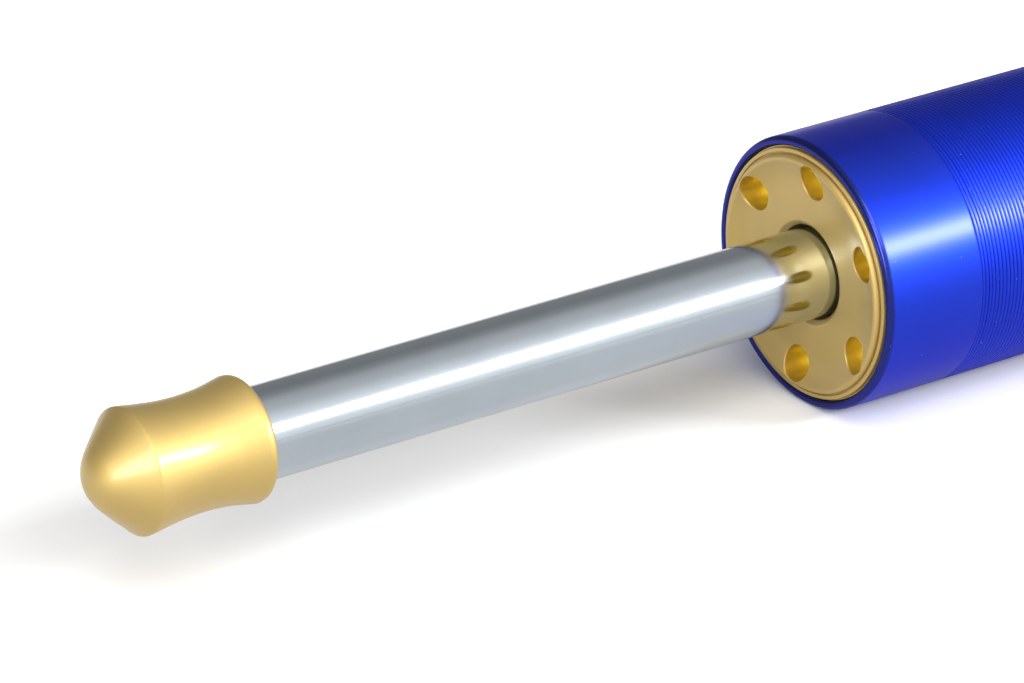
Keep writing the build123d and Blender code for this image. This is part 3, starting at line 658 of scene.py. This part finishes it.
def drilled_sector(profile, inner, outer, hole_radius, hole_circle, floor, per_arc, per_side):
    """One sixth of a cap's face, with its pin hole. Round the hole's centre the rows of points run
    from the hole's floor up its wall, over a small rounded edge and out to the sector's outline,
    which is two arcs and two straight sides. Out on the face a point is the mix of a point on the
    hole's circle and a point on that outline, and its height is the profile's at its own radius.
    Returns the points as (height, radial, tangential), and the number of rows below the edge. The
    floor's height counts from the barrel's rim, so it is below 0."""
    half = math.radians(30)
    arc = np.linspace(-half, half, per_arc, endpoint=False)
    side = inner + (outer - inner) * np.sin(np.linspace(0, math.pi / 2, per_side, endpoint=False))
    polar = np.concatenate(
        [
            np.stack([np.full(per_arc, outer), arc], axis=-1),
            np.stack([np.append(outer, side[:0:-1]), np.full(per_side, half)], axis=-1),
            np.stack([np.full(per_arc, inner), -arc], axis=-1),
            np.stack([side, np.full(per_side, -half)], axis=-1),
        ]
    )
    outline = np.stack([polar[:, 0] * np.cos(polar[:, 1]), polar[:, 0] * np.sin(polar[:, 1])], axis=-1)
    toward = outline - (hole_circle, 0)
    toward /= np.linalg.norm(toward, axis=1, keepdims=True)
    edge = 0.14 * MM
    circle = (hole_circle, 0) + toward * (hole_radius + edge)

    def height(flat):
        return np.interp(np.hypot(flat[..., 0], flat[..., 1]), profile[:, 1], profile[:, 0])

    mix = np.array([0, 0.02, 0.06, 0.12, 0.2, 0.3, 0.41, 0.52, 0.62, 0.71, 0.79, 0.86, 0.91, 0.95, 0.98, 1.0])
    face = circle + mix[:, None, None] * (outline - circle)
    face = np.concatenate([height(face)[..., None], face], axis=-1)
    # The rounded edge, the wall with its tool rings, and the flat floor
    turn = np.linspace(math.pi / 2, 0, 5)[1:]
    reach = hole_radius + edge * (1 - np.cos(turn))
    lip = (hole_circle, 0) + toward * reach[:, None, None]
    drop = face[0, :, 0] - edge * (1 - np.sin(turn))[:, None]
    rounding = np.concatenate([drop[..., None], lip], axis=-1)
    rings, ring_height = 13, 0.035 * MM
    share = np.linspace(0, 1, 2 * rings + 1)[1:]
    ripple = hole_radius - ring_height * (np.arange(1, 2 * rings + 1) % 2)
    wall = (hole_circle, 0) + toward * ripple[:, None, None]
    deep = rounding[-1, :, 0] + share[:, None] * (floor - rounding[-1, :, 0])
    wall = np.concatenate([deep[..., None], wall], axis=-1)
    bottom = np.empty_like(wall[:1])
    bottom[0] = (floor, hole_circle, 0)
    return np.concatenate([bottom, wall[::-1], rounding[::-1], face]), 1 + len(wall)


class DAMPER_OT_end_caps(bpy.types.Operator):
    """Turns and drills the gold end caps, and dresses the wipers in them"""

    bl_idname = "damper.end_caps"
    bl_label = "End caps"

    def execute(self, context):
        s = context.scene.damper_sizes
        gold = finish_for("gold_anodised_aluminium")
        bead, round_over, lip, recess = s.bead_circle, s.bead_radius, s.lip_rise, s.face_recess
        # The profile of (height over the rim, radius): a flat face, then a dish whose arc is tangent to
        # the face and to the bead, and then the bead's own arc
        start = s.pin_circle - s.pin_radius
        reach, climb = bead - start, lip + recess
        dish = (reach**2 + climb**2 - round_over**2) / (2 * (round_over + climb))
        tilt = math.asin(reach / (dish + round_over))
        a = np.linspace(0, tilt, 14)
        dished = np.stack([dish * (1 - np.cos(a)) - recess, start + dish * np.sin(a)], axis=-1)
        a = np.linspace(-tilt, math.pi / 2, 22)[1:]
        beaded = np.stack([lip + round_over * np.cos(a), bead + round_over * np.sin(a)], axis=-1)
        # The drilled sectors reach from inner to outer, and the turned ring has all the rest
        inner, outer = 10.2 * MM, 16.0 * MM
        profile = np.vstack([[[-recess, inner]], dished, beaded])
        beyond = profile[profile[:, 1] > outer]
        first = [[np.interp(outer, profile[:, 1], profile[:, 0]), outer]]
        # Heights and radii of the foot groove and of the lip with its rounded corners, from the lip
        foot = np.array(
            [(-0.05, 16.2), (-0.3, 16.21), (-0.34, 16.26), (-0.34, 16.36), (-0.3, 16.41), (-0.05, 16.43),
             (0, 16.48), (0, 16.84), (-0.04, 16.94), (-0.14, 17.0)]
        )
        # Thread, back and wiper pocket, from the barrel's rim
        hidden = np.array([(-0.6, 17.0), (-0.6, 17.2), (-9, 17.2), (-9, 9), (-4.5, 9), (-4.5, 6.5)])
        # Rod hole and its chamfer, from the face
        hole = np.array([(-0.6, 6.5), (-0.04, 7.05), (0, 7.12), (0, 7.4), (0, 8.8)])
        outline = np.vstack(
            [first, beyond, foot * MM + (lip, 0), hidden * MM, hole * MM - (recess, 0), [[-recess, inner]]]
        )
        per_arc, per_side = 30, 24
        sector, wall_rows = drilled_sector(
            profile, inner, outer, s.pin_radius, s.pin_circle, -s.pin_floor, per_arc, per_side
        )
        rows, columns = sector.shape[:2]
        for end, sign, first_hole in (("front", -1, 25), ("rear", 1, 30)):
            points, faces, painted_light_mask, count = [], [], [], 0
            # Angles are from the -Y side for the front cap, and from the +Y side for the rear one
            for number in range(6):
                turn = math.radians(first_hole + 60 * number)
                y = sector[..., 1] * math.cos(turn) - sector[..., 2] * math.sin(turn)
                z = sector[..., 1] * math.sin(turn) + sector[..., 2] * math.cos(turn)
                points.append(np.stack([sector[..., 0], y, z], axis=-1).reshape(-1, 3))
                faces.append(net(rows, columns) + count)
                # Painted bounce light: the hole's wall and floor rows take the brighter amber
                painted_light_mask.append(np.repeat(np.arange(rows) < wall_rows, columns))
                count += rows * columns
            angle = math.radians(first_hole - 30) + np.arange(6 * per_arc) * 2 * math.pi / (6 * per_arc)
            x = np.broadcast_to(outline[:, :1], (len(outline), len(angle)))
            ring = np.stack([x, outline[:, 1:] * np.cos(angle), outline[:, 1:] * np.sin(angle)], axis=-1)
            faces.append(net(*x.shape) + count)
            points.append(ring.reshape(-1, 3))
            painted_light_mask.append(np.zeros(x.size))
            # Height becomes a place on X, and the angle's start turns to the side it is counted from
            rise, y, z = np.vstack(points).T
            points = np.stack([sign * (s.barrel_half + rise), sign * y, z], axis=-1)
            node, painted_light_mask = f"{end}_end_cap", np.concatenate(painted_light_mask)
            cap = make_mesh(f"{end}_cap", points, np.vstack(faces), "barrel", node, gold, painted_light_mask)
            face_outwards(cap, merge=0.002 * MM)
            cap.data.set_sharp_from_angle(angle=CREASE)
        dress("front_wiper", "rear_wiper")
        return {"FINISHED"}


class DAMPER_OT_adjuster(bpy.types.Operator):
    """Dresses the click adjuster on the rod head"""

    bl_idname = "damper.adjuster"
    bl_label = "Click adjuster"

    def execute(self, context):
        dress("adjuster_knob", "rod_head", "knob_washer", "knob_clip", "click_pin", "click_spring")
        return {"FINISHED"}


class DAMPER_OT_rod_end(bpy.types.Operator):
    """Dresses the spherical rod end, its lock nut and its bushes"""

    bl_idname = "damper.rod_end"
    bl_label = "Rod end"

    def execute(self, context):
        dress("lock_nut", "rod_end_housing", "bearing_race", "spherical_ball", "upper_bush", "lower_bush")
        return {"FINISHED"}


class DAMPER_OT_return_spring(bpy.types.Operator):
    """Winds the coil that returns the needle train"""

    bl_idname = "damper.return_spring"
    bl_label = "Return spring"

    def execute(self, context):
        # Square wire: a corner is (x + a w/2, R + b w/2) at the angle t, with a and b plus or minus 1,
        # and x rises evenly with t over all the turns
        s = context.scene.damper_sizes
        low_end, high_end = low("return_spring"), high("return_spring")
        wire, turns, span = s.spring_wire, s.spring_turns, high_end[0] - low_end[0]
        t = np.linspace(0, 2 * math.pi * turns, 36 * turns + 1)[:, None]
        a, b = np.array([-1, 1, 1, -1]), np.array([-1, -1, 1, 1])
        x = low_end[0] + wire / 2 + (span - wire) * t / t[-1] + a * wire / 2
        r = high_end[1] - wire / 2 + b * wire / 2
        points = np.stack([x, r * np.cos(t), r * np.sin(t)], axis=-1).reshape(-1, 3)
        last = len(points) - 4
        faces = np.vstack([net(len(t), 4), [[3, 2, 1, 0]], [[last, last + 1, last + 2, last + 3]]])
        coil = make_mesh("return_coil", points, faces, "rod", "return_spring", finish_for("spring_steel"))
        face_outwards(coil)
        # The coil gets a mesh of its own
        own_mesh(coil)
        return {"FINISHED"}


class DAMPER_OT_inside(bpy.types.Operator):
    """Dresses what the barrel and the rod hide"""

    bl_idname = "damper.inside"
    bl_label = "Inner parts"

    def execute(self, context):
        ends = ("gland", "gland_ring", "rod_bush", "rod_seal", "shim_stack")
        dress(*[f"{end}_{part}" for end in ("front", "rear") for part in ends])
        dress("piston", "piston_ring", "follower_ring", "cross_pin", "push_rod", "needle", "needle_seal")
        return {"FINISHED"}


STEPS = (
    DAMPER_OT_stage, DAMPER_OT_barrel, DAMPER_OT_end_caps, DAMPER_OT_rod, DAMPER_OT_bullet,
    DAMPER_OT_adjuster, DAMPER_OT_rod_end, DAMPER_OT_return_spring, DAMPER_OT_inside,
)


class DAMPER_PT_panel(bpy.types.Panel):
    """Lists the damper's pieces in the sidebar"""

    bl_label = "Steering damper"
    bl_idname = "DAMPER_PT_panel"
    bl_space_type = "VIEW_3D"
    bl_region_type = "UI"
    bl_category = "Damper"

    def draw(self, context):
        for step in STEPS:
            self.layout.operator(step.bl_idname)


GROUPS = {"damper_sizes": DamperSizes, "damper_finishes": DamperFinishes, "damper_studio": DamperStudio}


def register():
    for group in GROUPS.values():
        bpy.utils.register_class(group)
    for key, group in GROUPS.items():
        setattr(bpy.types.Scene, key, PointerProperty(type=group))
    for step in STEPS:
        bpy.utils.register_class(step)
    bpy.utils.register_class(DAMPER_PT_panel)


def unregister():
    bpy.utils.unregister_class(DAMPER_PT_panel)
    for step in STEPS:
        bpy.utils.unregister_class(step)
    for key in GROUPS:
        delattr(bpy.types.Scene, key)
    for group in GROUPS.values():
        bpy.utils.unregister_class(group)


def main():
    """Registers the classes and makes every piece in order."""
    register()
    for step in STEPS:
        area, word = step.bl_idname.split(".")
        getattr(getattr(bpy.ops, area), word)()


if __name__ == "__main__":
    main()
